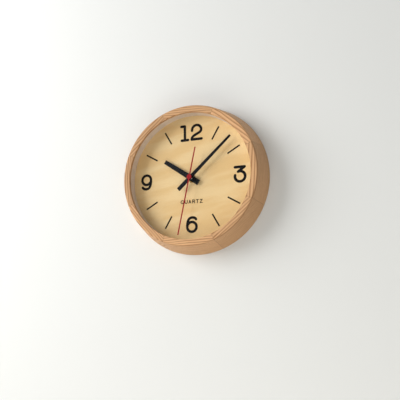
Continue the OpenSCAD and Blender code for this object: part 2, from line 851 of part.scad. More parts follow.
module dial_washer() {
    color("gold") on_wall() translate([0, 0, face_z]) tube(bush_r + washer_wall, bush_r, washer_t);
}

module hex_nut() {
    color("gold") on_wall() translate([0, 0, face_z + washer_t]) difference() {
        cylinder(r = bush_r + nut_wall, h = nut_t, $fn = 6);
        translate([0, 0, -cut]) cylinder(r = bush_r, h = nut_t + 2 * cut);
    }
}

// ---------- movement: going train ----------
pivot_in = pivot_depth - 0.1;
pivot_rise = 0.1;
stem_r = 0.7;
boss_r = 1.3;
magnet_up = 0.7;
magnet_t = 2.1;
rotor_teeth_u = shell_t + magnet_up + magnet_t;

// Pivots of a wheel between the cover and the train plate
module train_pivot() {
    translate([0, 0, shell_t - pivot_in])
        cylinder(r = pivot_r, h = plate_u + train_plate_t - shell_t + pivot_in);
}

module second_arbor() {
    color("silver") in_movement() {
        translate([0, 0, shell_t - pivot_in]) cylinder(r = pivot_r, h = pivot_in + 0.2);
        translate([0, 0, shell_t + 0.2]) cylinder(r = arbor_r, h = second_hand_z - movement_z - shell_t - 0.2);
    }
}

module second_wheel() {
    color("white") in_movement() difference() {
        union() {
            translate([0, 0, second_u]) difference() {
                wheel_teeth(second_n, inter_m, wheel_t);
                windows(second_windows, wheel_t);
            }
            translate([0, 0, second_u - 0.3]) cylinder(r = boss_r, h = 0.3 + eps);
            translate([0, 0, second_u + wheel_t - eps])
                pinion_teeth(second_pinion_n, second_m, third_u - second_u + 0.2 + eps);
        }
        translate([0, 0, second_u - cut]) cylinder(r = arbor_r, h = centre_u);
    }
}

module third_wheel() {
    color("white") in_movement() at(third_at) {
        translate([0, 0, third_u]) difference() {
            wheel_teeth(third_n, second_m, wheel_t, third_phase);
            windows(third_windows, wheel_t);
        }
        translate([0, 0, third_u + wheel_t - eps])
            pinion_teeth(third_pinion_n, third_m, centre_u + wheel_t + 0.2 - third_u - wheel_t + eps);
        translate([0, 0, shell_t + pivot_rise]) cylinder(r = stem_r, h = third_u - shell_t);
        train_pivot();
    }
}

module centre_wheel() {
    color("white") in_movement() translate([0, 0, centre_u]) difference() {
        wheel_teeth(centre_n, third_m, wheel_t, centre_phase);
        windows(centre_windows, wheel_t);
        translate([0, 0, -cut]) cylinder(r = minute_pipe_r + run_gap, h = wheel_t + 2 * cut);
    }
}

module intermediate_wheel() {
    color("white") in_movement() at(inter_at) {
        translate([0, 0, second_u - 0.2]) pinion_teeth(inter_pinion_n, inter_m, wheel_t + 0.6, inter_phase);
        translate([0, 0, inter_u]) difference() {
            wheel_teeth(inter_n, rotor_m, wheel_t);
            windows(inter_windows, wheel_t);
        }
        translate([0, 0, second_u]) cylinder(r = stem_r, h = inter_u - second_u + eps);
        train_pivot();
    }
}

module rotor_magnet() {
    color("darkslategray") in_movement() at(rotor_at, shell_t + magnet_up) tube(magnet_r, stem_r, magnet_t);
}

module rotor_pinion() {
    color("white") in_movement() at(rotor_at) {
        train_pivot();
        translate([0, 0, shell_t + pivot_rise]) cylinder(r = stem_r, h = magnet_up + magnet_t);
        translate([0, 0, rotor_teeth_u])
            pinion_teeth(rotor_n, rotor_m, inter_u + wheel_t + 0.4 - rotor_teeth_u, rotor_phase);
    }
}

// ---------- movement: motion work ----------
clutch_r = 3.2;
clutch_t = 0.3;
collar_wall = 0.6;
collar_t = 0.5;

module clutch_spring() {
    color("silver") in_movement() translate([0, 0, centre_u + wheel_t + 0.15])
        tube(clutch_r, minute_pipe_r, clutch_t);
}

module minute_pipe() {
    collar_u = centre_u - 0.6;
    color("white") in_movement() difference() {
        union() {
            translate([0, 0, collar_u])
                cylinder(r = minute_pipe_r, h = minute_pipe_top - movement_z - collar_u);
            translate([0, 0, collar_u]) cylinder(r = minute_pipe_r + collar_wall, h = collar_t);
            translate([0, 0, motion_u + 0.5])
                pinion_teeth(cannon_n, cannon_m, minute_wheel_u + minute_wheel_t + 0.4 - motion_u - 0.5);
        }
        translate([0, 0, collar_u - cut])
            cylinder(r = minute_bore_r, h = minute_pipe_top - movement_z + 2 * cut);
    }
}

module minute_wheel() {
    color("white") in_movement() at(minute_at) {
        translate([0, 0, minute_wheel_u]) difference() {
            wheel_teeth(minute_n, cannon_m, minute_wheel_t, minute_phase);
            windows(minute_windows, minute_wheel_t);
        }
        translate([0, 0, minute_wheel_u + minute_wheel_t - eps])
            pinion_teeth(minute_pinion_n, hour_m, hour_wheel_u + 0.3 - minute_wheel_u);
        translate([0, 0, motion_u + pivot_rise]) cylinder(r = stem_r, h = minute_wheel_u - motion_u);
        translate([0, 0, motion_u - train_plate_t])
            cylinder(r = pivot_r, h = front_wall_u + pivot_in - motion_u + train_plate_t);
        translate([0, 0, hour_wheel_u + minute_wheel_t])
            cylinder(r = stem_r, h = front_wall_u - pivot_rise - hour_wheel_u - minute_wheel_t);
    }
}

module hour_wheel() {
    color("white") in_movement() difference() {
        union() {
            translate([0, 0, hour_wheel_u]) wheel_teeth(hour_n, hour_m, minute_wheel_t, hour_phase);
            translate([0, 0, hour_wheel_u - 0.2]) cylinder(r = hour_pipe_r + 0.8, h = 1.5);
            translate([0, 0, hour_wheel_u])
                cylinder(r = hour_pipe_r, h = hour_pipe_top - movement_z - hour_wheel_u);
        }
        translate([0, 0, hour_wheel_u - cut])
            cylinder(r = hour_bore_r, h = hour_pipe_top - movement_z + 2 * cut);
    }
}

knob_u = -2.1;
knob_t = 1.7;
knob_r = 6;
flute_count = 24;
flute_r = 0.4;
dish_r = 3.2;
dish_depth = 0.5;

module setting_shaft() {
    color("white") in_movement() at(setting_at) {
        translate([0, 0, knob_u + knob_t])
            cylinder(r = setting_r, h = front_wall_u + pivot_in - knob_u - knob_t);
        translate([0, 0, minute_wheel_u]) pinion_teeth(setting_n, cannon_m, minute_wheel_t, setting_phase);
    }
}

module setting_knob() {
    color("dimgray") in_movement() at(setting_at, knob_u) difference() {
        cylinder(r = knob_r, h = knob_t);
        for (i = [1:flute_count])
            rotate([0, 0, i * 360 / flute_count])
                translate([knob_r + flute_r / 4, 0, -cut]) cylinder(r = flute_r, h = knob_t + 2 * cut);
        translate([0, 0, -cut]) cylinder(r = dish_r, h = cut + dish_depth);
    }
}

// ---------- movement: motor and circuit ----------
arm_left = -19.5;
arm_right = 13.5;
bridge_low = 16;
bridge_high = 19.2;

module stator() {
    color("silver") in_movement() translate([0, 0, stator_u]) difference() {
        union() {
            at(rotor_at) cylinder(r = stator_ring_r, h = stator_t);
            block([arm_left, bridge_low, 0], [arm_right, bridge_high, stator_t]);
            for (x = [arm_left, arm_right - arm_w])
                block([x, bridge_low, 0], [x + arm_w, coil_y + core_h, stator_t]);
        }
        at(rotor_at, -cut) cylinder(r = stator_hole_r, h = stator_t + 2 * cut);
        for (p = stator_posts) at(p, -cut) cylinder(r = pcb_peg_r, h = stator_t + 2 * cut);
    }
}

module coil_core() {
    color("gray") in_movement()
        block([arm_left, coil_y - core_h / 2, core_u], [arm_right, coil_y + core_h / 2, core_u + stator_t]);
}

module along_coil(x) {
    translate([x, coil_y, coil_u]) rotate([0, 90, 0]) children();
}

module coil_bobbin() {
    color("ivory") in_movement() difference() {
        union() {
            along_coil(coil_left) cylinder(r = flange_r, h = flange_t);
            along_coil(coil_right - flange_t) cylinder(r = flange_r, h = flange_t);
            along_coil(coil_left) cylinder(r = tube_r, h = coil_right - coil_left);
        }
        block(
            [coil_left - cut, coil_y - core_h / 2, core_u],
            [coil_right + cut, coil_y + core_h / 2, core_u + stator_t]
        );
        for (x = terminal_xs) at([x, coil_y], coil_u + tube_r) cylinder(r = terminal_r, h = flange_r);
    }
}

module coil_winding() {
    color("peru") in_movement() along_coil(coil_left + flange_t)
        tube(coil_r, tube_r, coil_right - coil_left - 2 * flange_t);
}

module coil_terminals() {
    color("gold") in_movement()
        for (x = terminal_xs)
            at([x, coil_y], coil_u + tube_r)
                cylinder(r = terminal_r, h = board_u + board_pcb_t + 0.4 - coil_u - tube_r);
}

module circuit_board() {
    color("darkgreen") in_movement() translate([0, 0, board_u]) difference() {
        block([-room_side + 0.5, pcb_bottom, 0], [room_side - 0.5, room_up - 0.5, board_pcb_t]);
        for (p = pcb_posts) at(p, -cut) cylinder(r = pcb_peg_r, h = board_pcb_t + 2 * cut);
        for (x = terminal_xs) at([x, coil_y], -cut) cylinder(r = terminal_r, h = board_pcb_t + 2 * cut);
    }
}

crystal_at = [9, 24.4];
crystal_r = 1;
crystal_len = 6;
crystal_lead_r = 0.15;

module quartz_crystal() {
    color("silver") in_movement() at(crystal_at, board_u + board_pcb_t + crystal_r) rotate([0, 90, 0]) {
        cylinder(r = crystal_r, h = crystal_len);
        for (y = [-0.35, 0.35]) translate([0, y, -1]) cylinder(r = crystal_lead_r, h = 1 + eps);
    }
}

chip_at = [-3, 19];
chip_r = 2.8;
chip_t = 1.1;
chip_dome_r = 4.3;

module clock_chip() {
    color("black") in_movement() at(chip_at, board_u + board_pcb_t) intersection() {
        cylinder(r = chip_r, h = chip_t);
        translate([0, 0, chip_t - chip_dome_r]) sphere(r = chip_dome_r);
    }
}

// Spring strip up the side wall, from the battery bay to a tab on the circuit board
module contact_strip(side) {
    inner = side * (room_side - strip_t);
    outer = side * room_side;
    tab = side * (room_side - tab_len);
    block([min(inner, outer), bay_y - strip_below, strip_u], [max(inner, outer), strip_top, strip_u + strip_w]);
    block(
        [min(tab, outer), strip_top - tab_w, board_u + board_pcb_t],
        [max(tab, outer), strip_top, board_u + board_pcb_t + strip_t]
    );
}

module contact_positive() {
    color("silver") in_movement() contact_strip(1);
}

// Battery's place along the bay, from its nub at the right
nub_gap = 0.05;
nub_r = 2.6;
nub_len = 1.5;
nub_end = room_side - strip_t - nub_gap;
can_right = nub_end - nub_len;
can_left = can_right - battery_len;
coil_wide_r = 3.6;
coil_narrow_r = 2;
coil_turns = 2.5;
coil_wire = 0.3;
coil_steps = 14;

// Ring of points round a conical helix, at turn fraction k
function spring_ring(k, length) =
    let (
        t = k / (coil_steps * coil_turns),
        a = k * 360 / coil_steps,
        r = coil_wide_r + (coil_narrow_r - coil_wide_r) * t
    )
    [for (i = [0:5])
        let (b = i * 60)
        [
            t * length + coil_wire * sin(b),
            (r + coil_wire * cos(b)) * cos(a),
            (r + coil_wire * cos(b)) * sin(a)
        ]];

module conical_spring(length) {
    rings = coil_steps * coil_turns;
    points = [for (k = [0:rings]) each spring_ring(k, length)];
    sides = [for (k = [0:rings - 1], i = [0:5])
        [k * 6 + i, k * 6 + (i + 1) % 6, (k + 1) * 6 + (i + 1) % 6, (k + 1) * 6 + i]];
    caps = [[for (i = [5:-1:0]) i], [for (i = [0:5]) rings * 6 + i]];
    polyhedron(points, concat(sides, caps));
}

module contact_negative() {
    color("silver") in_movement() {
        contact_strip(-1);
        translate([-room_side + strip_t + coil_wire * 0.8, bay_y, battery_u])
            conical_spring(can_left - nub_gap + room_side - strip_t - 2 * coil_wire);
    }
}

module battery() {
    color("green") in_movement() translate([can_left, bay_y, battery_u]) rotate([0, 90, 0]) {
        cylinder(r = battery_r, h = battery_len);
        translate([0, 0, battery_len - eps]) cylinder(r = nub_r, h = nub_len + eps);
    }
}

// ---------- what is drawn ----------
for (i = [1:stave_count])
    case_stave(i);
front_glass();
liner_ring();
dial();
hour_marks();
numerals();
dial_word();
spacer_ring();
back_board();
back_screws();
hanger_plate();
hanger_screws();
hour_hand();
minute_hand();
second_hand();
second_hand_tube();
movement_housing();
movement_cover();
train_plate();
mounting_bush();
rubber_gasket();
dial_washer();
hex_nut();
second_arbor();
second_wheel();
third_wheel();
centre_wheel();
intermediate_wheel();
rotor_magnet();
rotor_pinion();
clutch_spring();
minute_pipe();
minute_wheel();
hour_wheel();
setting_shaft();
setting_knob();
stator();
coil_core();
coil_bobbin();
coil_winding();
coil_terminals();
circuit_board();
quartz_crystal();
clock_chip();
contact_positive();
contact_negative();
battery();
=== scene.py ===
"""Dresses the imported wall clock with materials, a detailed cell, a wall, a floor, lights and the camera.
Everything is in metres in the row frame: +X to the viewer's right, +Y into the wall, +Z up."""

import math

import bmesh
import bpy
from mathutils import Matrix, Vector

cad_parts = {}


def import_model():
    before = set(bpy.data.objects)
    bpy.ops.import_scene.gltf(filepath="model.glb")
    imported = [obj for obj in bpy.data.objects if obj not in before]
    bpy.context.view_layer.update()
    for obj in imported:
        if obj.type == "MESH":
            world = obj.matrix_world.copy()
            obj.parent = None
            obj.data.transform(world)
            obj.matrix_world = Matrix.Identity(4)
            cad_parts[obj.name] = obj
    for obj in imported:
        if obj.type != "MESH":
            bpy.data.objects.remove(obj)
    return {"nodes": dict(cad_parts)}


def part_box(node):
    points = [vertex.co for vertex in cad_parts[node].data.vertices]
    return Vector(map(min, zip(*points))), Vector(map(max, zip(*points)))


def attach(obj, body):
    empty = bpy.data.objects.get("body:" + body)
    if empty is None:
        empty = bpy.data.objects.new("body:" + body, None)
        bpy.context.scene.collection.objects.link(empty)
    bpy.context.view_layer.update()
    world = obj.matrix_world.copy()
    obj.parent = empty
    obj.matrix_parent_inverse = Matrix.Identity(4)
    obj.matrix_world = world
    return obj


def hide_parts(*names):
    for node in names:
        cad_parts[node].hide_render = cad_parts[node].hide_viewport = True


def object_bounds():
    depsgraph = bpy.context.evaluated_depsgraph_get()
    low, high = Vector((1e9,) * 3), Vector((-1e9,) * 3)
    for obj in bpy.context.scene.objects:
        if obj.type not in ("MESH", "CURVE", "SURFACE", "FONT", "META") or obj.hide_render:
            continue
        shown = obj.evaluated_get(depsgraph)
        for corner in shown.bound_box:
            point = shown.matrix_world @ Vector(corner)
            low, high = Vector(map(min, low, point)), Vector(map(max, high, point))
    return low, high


MM = 0.001
STAVES = 8
MITRE = math.pi / STAVES

# ---------------------------------------------------------------- shader helpers


def shader_tree(name):
    """A new empty material and its node tree."""
    made = bpy.data.materials.new(name)
    made.use_nodes = True
    made.node_tree.nodes.clear()
    return made, made.node_tree


def node(tree, kind, values=None, **props):
    """Adds a shader node. values maps an input's name or number to a constant, or to the socket that feeds it."""
    made = tree.nodes.new("ShaderNode" + kind)
    for name, value in props.items():
        setattr(made, name, value)
    for key, value in (values or {}).items():
        if isinstance(value, bpy.types.NodeSocket):
            tree.links.new(value, made.inputs[key])
        else:
            made.inputs[key].default_value = value
    return made


def calc(tree, operation, *values, clamp=False):
    """The output socket of a Math node."""
    made = node(tree, "Math", dict(enumerate(values)), operation=operation)
    made.use_clamp = clamp
    return made.outputs[0]


def mapped(tree, turn=(0, 0, 0), origin=(0, 0, 0)):
    """Object coordinates in millimetres about origin, turned."""
    place = node(tree, "TexCoord").outputs["Object"]
    moved = node(tree, "VectorMath", {0: place, 1: origin}, operation="SUBTRACT")
    turned = node(
        tree,
        "Mapping",
        {"Vector": moved.outputs[0], "Rotation": turn, "Scale": (1000, 1000, 1000)},
    )
    return turned.outputs[0]


def stretched(tree, vector, scale):
    """vector with each axis multiplied, so that a pattern runs along the axis with the small number."""
    return node(
        tree, "VectorMath", {0: vector, 1: scale}, operation="MULTIPLY"
    ).outputs[0]


def noise(tree, vector, scale=1.0, detail=2.0, rough=0.5, distortion=0.0):
    """A noise texture's value from 0 to 1."""
    return node(
        tree,
        "TexNoise",
        {
            "Vector": vector,
            "Scale": scale,
            "Detail": detail,
            "Roughness": rough,
            "Distortion": distortion,
        },
    ).outputs[0]


def spread(tree, value, low, high):
    """value, from 0 to 1, laid over the range low to high."""
    return node(
        tree, "MapRange", {"Value": value, "To Min": low, "To Max": high}
    ).outputs[0]


def step(tree, value, low, high, to_low=0.0, to_high=1.0):
    """A smooth step from to_low at low to to_high at high."""
    return node(
        tree,
        "MapRange",
        {
            "Value": value,
            "From Min": low,
            "From Max": high,
            "To Min": to_low,
            "To Max": to_high,
        },
        interpolation_type="SMOOTHSTEP",
    ).outputs[0]


def mix(tree, share, a, b, blend="MIX"):
    """Colour b over colour a by share."""
    made = node(tree, "Mix", data_type="RGBA", blend_type=blend)
    for key, value in ((0, share), (6, a), (7, b)):
        if isinstance(value, bpy.types.NodeSocket):
            tree.links.new(value, made.inputs[key])
        else:
            made.inputs[key].default_value = value if key == 0 else (*value[:3], 1)
    return made.outputs[2]


def ramp(tree, value, *stops):
    """A colour ramp of (place, colour) stops."""
    made = node(tree, "ValToRGB", {"Fac": value})
    bar = made.color_ramp.elements
    while len(bar) < len(stops):
        bar.new(1.0)
    for element, (place, colour) in zip(bar, stops):
        element.position, element.color = place, (*colour, 1)
    return made.outputs[0]


def bump(tree, height, depth_mm, normal=None):
    """A normal from a height between 0 and 1 that stands for depth_mm."""
    values = {"Height": height, "Strength": 1.0, "Distance": depth_mm * MM}
    if normal is not None:
        values["Normal"] = normal
    return node(tree, "Bump", values).outputs[0]


def surface(tree, colour, roughness, normal=None, **constants):
    """The Principled shader and the output node. constants are set on the shader's own sockets."""
    values = {"Base Color": colour, "Roughness": roughness, **constants}
    if normal is not None:
        values["Normal"] = normal
    shader = node(tree, "BsdfPrincipled", values)
    node(tree, "OutputMaterial", {"Surface": shader.outputs[0]})


# ---------------------------------------------------------------- wood

ASH_LATE = (0.290, 0.128, 0.050)
ASH_MID = (0.505, 0.277, 0.132)
ASH_EARLY = (0.690, 0.418, 0.222)
PORE = (0.190, 0.082, 0.034)
GLUE = (0.110, 0.045, 0.018)
RING_MM = 2.9
WANDER_MM = 6.0
UNEVEN_MM = 2.5
GLUE_MM = (0.05, 0.42)


def board_coordinates(tree, axis, angle):
    """Millimetres along the board (x), through it (y) and out from the clock's axis (z)."""
    return mapped(tree, turn=(0, -angle, 0), origin=axis)


def growth_rings(tree, board, pith, lean, seed):
    """Rings round a pith line beside the board, 0 to 1 across each one, and the shifted coordinates."""
    shifted = node(tree, "VectorMath", {0: board, 1: (seed, seed / 3, -seed)}).outputs[0]
    wander = noise(tree, stretched(tree, shifted, (0.008, 0.03, 0.03)), detail=2.0)
    widths = noise(tree, stretched(tree, shifted, (0.002, 0.14, 0.14)), detail=2.0)
    parts = node(tree, "SeparateXYZ", {0: board})
    across = calc(tree, "SUBTRACT", parts.outputs[2], pith[1])
    through = calc(tree, "SUBTRACT", parts.outputs[1], pith[0])
    radius = calc(
        tree,
        "SQRT",
        calc(
            tree,
            "ADD",
            calc(tree, "MULTIPLY", across, across),
            calc(tree, "MULTIPLY", through, through),
        ),
    )
    leaned = calc(tree, "MULTIPLY_ADD", parts.outputs[0], lean, radius)
    wandered = calc(tree, "MULTIPLY_ADD", wander, WANDER_MM, leaned)
    uneven = calc(tree, "MULTIPLY_ADD", widths, UNEVEN_MM, wandered)
    return calc(tree, "FRACT", calc(tree, "DIVIDE", uneven, RING_MM)), shifted


def joint_line(tree, board):
    """1 on the mitre planes at a stave's two ends, fading within a fraction of a millimetre."""
    parts = node(tree, "SeparateXYZ", {0: board})
    along = calc(tree, "ABSOLUTE", parts.outputs[0])
    inside = calc(
        tree,
        "SUBTRACT",
        calc(tree, "MULTIPLY", parts.outputs[2], math.sin(MITRE)),
        calc(tree, "MULTIPLY", along, math.cos(MITRE)),
    )
    return step(tree, inside, *GLUE_MM, 1.0, 0.0)


def rounded_edge(tree):
    """1 where the surface bends from the front face to the outer side: the mask for the painted edge shade."""
    facing = node(tree, "SeparateXYZ", {0: node(tree, "NewGeometry").outputs["Normal"]})
    front = calc(tree, "MULTIPLY", facing.outputs[1], -1.0)
    return calc(
        tree,
        "MULTIPLY",
        step(tree, front, 0.30, 0.55),
        step(tree, front, 0.80, 0.985, 1.0, 0.0),
    )


def stave_wood(name, axis, angle, pith, lean, seed, tone_and_light, edge_shade):
    """Oiled straight-grained ash along one stave, with its glue lines. Its colour is scaled per stave, which also
    paints light and shade into it, and painted shade darkens the rounded front edge.
    """
    made, tree = shader_tree(name)
    board = board_coordinates(tree, axis, angle)
    ring, shifted = growth_rings(tree, board, pith, lean, seed)
    fibre = noise(tree, stretched(tree, shifted, (0.03, 2.2, 2.2)), detail=3.0, rough=0.6)
    patches = noise(tree, stretched(tree, shifted, (0.012, 0.09, 0.09)), detail=1.0)
    vessels = noise(tree, stretched(tree, shifted, (0.13, 4.2, 4.2)), detail=1.0)
    earlywood = step(tree, ring, 0.62, 0.96)
    pores = calc(tree, "MULTIPLY", step(tree, vessels, 0.56, 0.68), earlywood)
    colour = ramp(
        tree,
        ring,
        (0.0, ASH_LATE),
        (0.08, ASH_LATE),
        (0.24, ASH_MID),
        (0.50, ASH_EARLY),
        (0.80, ASH_EARLY),
        (1.0, ASH_MID),
    )
    colour = mix(tree, spread(tree, patches, -0.30, 0.60), colour, ASH_EARLY)
    colour = mix(tree, step(tree, fibre, 0.42, 0.72, 0.0, 0.30), colour, ASH_LATE)
    colour = mix(tree, calc(tree, "MULTIPLY", pores, 0.45), colour, PORE)
    # Per-stave colour scale: partly the staves' own difference, partly painted light and shade (left staves
    # darker, bottom and upper-right ones lighter).
    colour = mix(tree, 1.0, colour, (tone_and_light, tone_and_light, tone_and_light), "MULTIPLY")
    # Painted shade along the rounded front edge, strongest on the right-hand staves, in the latewood colour.
    colour = mix(tree, calc(tree, "MULTIPLY", rounded_edge(tree), edge_shade), colour, ASH_LATE)
    colour = mix(tree, calc(tree, "MULTIPLY", joint_line(tree, board), 0.6), colour, GLUE)
    roughness = spread(tree, fibre, 0.40, 0.56)
    relief = calc(tree, "SUBTRACT", spread(tree, fibre, 0.45, 0.6), pores)
    relief = calc(tree, "SUBTRACT", relief, joint_line(tree, board))
    surface(
        tree,
        colour,
        roughness,
        bump(tree, relief, 0.05),
        **{"Specular IOR Level": 0.12},
    )
    return made


VENEER_PALE = (0.850, 0.622, 0.325)
VENEER_WARM = (0.790, 0.535, 0.245)
VENEER_LINE = (0.62, 0.36, 0.14)
VENEER_TURN = math.radians(11)
VENEER_PITH = (-36.0, -250.0)


def dial_veneer(axis):
    """Pale smooth veneer: broad faint figure rising a little to the right, fine flecks, matt lacquer."""
    made, tree = shader_tree("dial_veneer")
    board = mapped(tree, turn=(0, VENEER_TURN, 0), origin=axis)
    ring, shifted = growth_rings(tree, board, VENEER_PITH, 0.0, 41.0)
    broad = noise(tree, stretched(tree, shifted, (0.009, 1.0, 0.045)), detail=3.0)
    fleck = noise(tree, stretched(tree, shifted, (0.16, 1.0, 2.4)), detail=2.0)
    colour = mix(tree, step(tree, broad, 0.40, 0.62), VENEER_PALE, VENEER_WARM)
    colour = mix(tree, step(tree, ring, 0.75, 0.99, 0.0, 0.12), colour, VENEER_LINE)
    colour = mix(tree, step(tree, fleck, 0.52, 0.72, 0.0, 0.16), colour, VENEER_LINE)
    surface(
        tree,
        colour,
        spread(tree, fleck, 0.46, 0.60),
        bump(tree, fleck, 0.01),
        **{"Specular IOR Level": 0.35},
    )
    return made


def pressed_board(name, light, dark, mesh_mm):
    """Fibreboard: matted fibres, and the weave of the press's wire screen where mesh_mm isn't 0."""
    made, tree = shader_tree(name)
    place = mapped(tree)
    fibres = noise(tree, stretched(tree, place, (0.9, 0.9, 0.9)), 1.6, 5.0, 0.7, 1.2)
    clouds = noise(tree, place, 0.05, 2.0)
    colour = mix(tree, fibres, dark, light)
    colour = mix(tree, step(tree, clouds, 0.35, 0.7, 0.0, 0.35), colour, dark)
    height = fibres
    if mesh_mm:
        parts = node(tree, "SeparateXYZ", {0: place})
        weave = [
            calc(tree, "SINE", calc(tree, "MULTIPLY", parts.outputs[k], math.tau / mesh_mm))
            for k in (0, 2)
        ]
        height = calc(tree, "MULTIPLY_ADD", calc(tree, "MULTIPLY", *weave), 0.5, fibres)
    surface(tree, colour, spread(tree, fibres, 0.72, 0.9), bump(tree, height, 0.06))
    return made


# ---------------------------------------------------------------- plastics, metals, glass


def plastic(name, colour, rough, grain_mm=0.35, depth_mm=0.01, **constants):
    """Moulded plastic or paint: slightly uneven colour and gloss over a fine grain."""
    made, tree = shader_tree(name)
    place = mapped(tree)
    cloud = noise(tree, place, 0.08, 3.0)
    grain = noise(tree, place, 1.0 / grain_mm, 2.0)
    shade = tuple(c * 0.86 for c in colour)
    tinted = mix(tree, step(tree, cloud, 0.3, 0.7), colour, shade)
    gloss = calc(tree, "MULTIPLY_ADD", grain, 0.12, rough - 0.06)
    surface(tree, tinted, gloss, bump(tree, grain, depth_mm), **constants)
    return made


def metal(name, colour, rough, along=(1.0, 1.0, 1.0), fine_mm=0.25):
    """Bare or plated metal: fine marks, drawn out along the axis whose number in along is small."""
    made, tree = shader_tree(name)
    place = mapped(tree)
    marks = noise(tree, stretched(tree, place, along), 1.0 / fine_mm, 3.0, 0.6)
    cloud = noise(tree, place, 0.25, 3.0)
    dull = tuple(c * 0.72 for c in colour)
    tinted = mix(tree, step(tree, cloud, 0.35, 0.75, 0.0, 0.6), colour, dull)
    gloss = calc(tree, "MULTIPLY_ADD", marks, 0.22, rough - 0.1)
    surface(tree, tinted, gloss, bump(tree, marks, 0.004), Metallic=1.0)
    return made


def clear_glass():
    """A clear pane with a coat that weakens its reflection, which comes off each face from outside only."""
    made, tree = shader_tree("clear_glass")
    place = mapped(tree)
    uneven = bump(tree, noise(tree, place, 0.02, 1.0), 0.02)
    see = node(tree, "BsdfTransparent", {"Color": (0.988, 0.992, 0.990, 1)})
    shine = node(tree, "BsdfGlossy", {"Roughness": 0.02, "Normal": uneven})
    outward = calc(tree, "SUBTRACT", 1.0, node(tree, "NewGeometry").outputs["Backfacing"])
    fresnel = node(tree, "Fresnel", {"IOR": 1.45, "Normal": uneven})
    coated = calc(tree, "MULTIPLY", outward, 0.35)
    share = calc(tree, "MULTIPLY", fresnel.outputs[0], coated)
    both = node(tree, "MixShader", {0: share, 1: see.outputs[0], 2: shine.outputs[0]})
    node(tree, "OutputMaterial", {"Surface": both.outputs[0]})
    return made


def wound_copper():
    """Enamelled wire wound side by side along X, with painted shade in the grooves between windings."""
    made, tree = shader_tree("enamelled_copper")
    place = mapped(tree)
    along = node(tree, "SeparateXYZ", {0: place}).outputs[0]
    turns = calc(tree, "ABSOLUTE", calc(tree, "SINE", calc(tree, "MULTIPLY", along, 26.0)))
    streak = noise(tree, stretched(tree, place, (9.0, 0.4, 0.4)), 1.0, 2.0)
    # Painted shade: each winding runs from dark in its grooves to the copper colour on its crown.
    colour = mix(tree, turns, (0.18, 0.05, 0.015), (0.62, 0.22, 0.08))
    colour = mix(tree, step(tree, streak, 0.4, 0.7, 0.0, 0.4), colour, (0.40, 0.12, 0.04))
    surface(tree, colour, spread(tree, streak, 0.25, 0.4), bump(tree, turns, 0.05), Metallic=0.7)
    return made


def circuit_laminate():
    """Green solder mask with copper tracks showing through it."""
    made, tree = shader_tree("circuit_laminate")
    place = mapped(tree)
    tracks = node(
        tree,
        "TexBrick",
        {
            "Vector": stretched(tree, place, (0.32, 0.0, 0.32)),
            "Color1": (0.02, 0.13, 0.05, 1),
            "Color2": (0.03, 0.17, 0.07, 1),
            "Mortar": (0.07, 0.30, 0.10, 1),
            "Scale": 1.0,
            "Mortar Size": 0.06,
        },
    )
    weave = noise(tree, place, 3.0, 2.0)
    surface(
        tree,
        mix(tree, step(tree, weave, 0.4, 0.7, 0.0, 0.3), tracks.outputs[0], (0.02, 0.09, 0.03)),
        spread(tree, weave, 0.25, 0.4),
        bump(tree, tracks.outputs[1], 0.03),
    )
    return made


SLEEVE_DARK = (0.030, 0.150, 0.075)
SLEEVE_LIGHT = (0.72, 0.68, 0.56)
SLEEVE_SCUFF = (0.45, 0.45, 0.42)
BAND_START = 0.66


def cell_sleeve(box):
    """The cell's printed sleeve: a dark band and a light band round it, scuffed in places."""
    made, tree = shader_tree("cell_sleeve")
    low, high = box
    place = mapped(tree, origin=low)
    along = node(tree, "SeparateXYZ", {0: place}).outputs[0]
    share = calc(tree, "DIVIDE", along, (high.x - low.x) / MM)
    scuff = noise(tree, place, 0.8, 4.0, 0.6)
    band = step(tree, share, BAND_START, BAND_START + 0.005)
    colour = mix(tree, band, SLEEVE_DARK, SLEEVE_LIGHT)
    colour = mix(tree, step(tree, scuff, 0.62, 0.74, 0.0, 0.35), colour, SLEEVE_SCUFF)
    surface(
        tree,
        colour,
        spread(tree, scuff, 0.24, 0.42),
        bump(tree, scuff, 0.01),
        **{"Coat Weight": 0.3, "Coat Roughness": 0.2},
    )
    return made


# ---------------------------------------------------------------- dressing the CAD nodes

RUBBER = (0.018, 0.018, 0.018)
SHELL = (0.020, 0.020, 0.022)
ACETAL = (0.74, 0.73, 0.68)
ZINC = (0.60, 0.61, 0.62)
BRASS = (0.72, 0.52, 0.22)
STEEL = (0.52, 0.52, 0.54)
IRON = (0.36, 0.36, 0.38)
MAGNET = (0.10, 0.10, 0.11)
EPOXY = (0.012, 0.012, 0.012)
NYLON = (0.62, 0.56, 0.40)
INK = (0.005, 0.004, 0.004)
BLACK = (0.004, 0.005, 0.008)
RED = (0.34, 0.004, 0.012)
# The white liner's colour, darkened with painted shade for its place in the recess.
LINER_SHADED = (0.76, 0.65, 0.58)
RAW_BOARD = ((0.42, 0.29, 0.17), (0.27, 0.17, 0.09))
HARDBOARD = ((0.235, 0.125, 0.060), (0.120, 0.058, 0.026))


